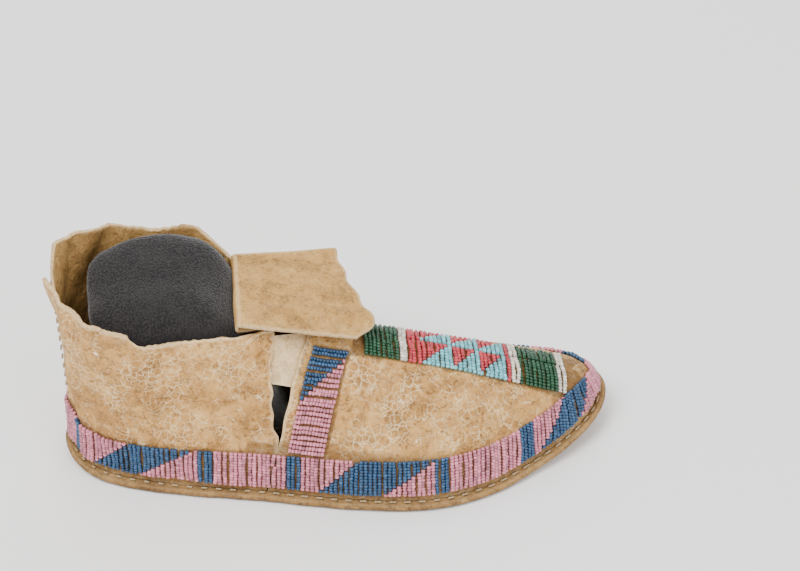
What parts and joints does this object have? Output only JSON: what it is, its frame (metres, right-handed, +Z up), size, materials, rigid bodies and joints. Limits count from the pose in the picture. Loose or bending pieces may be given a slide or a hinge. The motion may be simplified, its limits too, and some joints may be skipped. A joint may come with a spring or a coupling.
{
  "type": "moccasin",
  "caption": "Low hide moccasin on a stiff flat sole, with beaded bands round the foot and over the instep, a tongue that folds forward and a padded insert in the ankle opening.",
  "frame": {"origin": "on the floor under the middle of the whole object's box", "axes": "+X from heel to toe, +Y to the inner side of the foot, +Z up from the sole"},
  "size_m": [0.2503, 0.1057, 0.1028],
  "materials": {
    "hide": "worn tanned hide, matte",
    "pale_hide": "soft pale hide, matte",
    "rawhide": "stiff rawhide, worn",
    "pink_glass": "opaque pink glass seed beads",
    "blue_glass": "blue glass seed beads",
    "green_glass": "dark green glass seed beads",
    "white_glass": "white glass seed beads",
    "red_glass": "red glass seed beads",
    "turquoise_glass": "turquoise glass seed beads",
    "sinew": "sinew thread",
    "black_knit": "black pebbled knit",
    "batting": "light grey batting"
  },
  "bodies": {
    "shoe": {"sole": "rawhide", "vamp": "hide", "quarter_near": "hide", "quarter_far": "hide", "gusset_near": "pale_hide", "tongue_base": "hide", "tie_thong": "hide", "band_beads_pink": "pink_glass", "band_beads_blue": "blue_glass", "strip_near_beads_pink": "pink_glass", "strip_near_beads_blue": "blue_glass", "strip_far_beads_pink": "pink_glass", "strip_far_beads_blue": "blue_glass", "instep_beads_green": "green_glass", "instep_beads_white": "white_glass", "instep_beads_red": "red_glass", "instep_beads_turquoise": "turquoise_glass", "sole_seam_stitches": "sinew", "heel_seam_stitches": "sinew", "side_seam_stitches": "sinew", "throat_stitches": "sinew"},
    "tongue": {"tongue_flap": "hide"},
    "display_insert": {"insert_cover": "black_knit", "insert_padding": "batting"}
  },
  "joints": [
    {"name": "tongue_fold", "type": "hinge", "parent": "shoe", "child": "tongue", "pos_m": [-0.043, 0, 0.083], "axis": [0, -1, 0], "range_deg": [0, 80]},
    {"name": "insert_lift", "type": "slide", "parent": "shoe", "child": "display_insert", "axis": [-0.5, 0, 0.866], "range_m": [0, 0.125]}
  ]
}
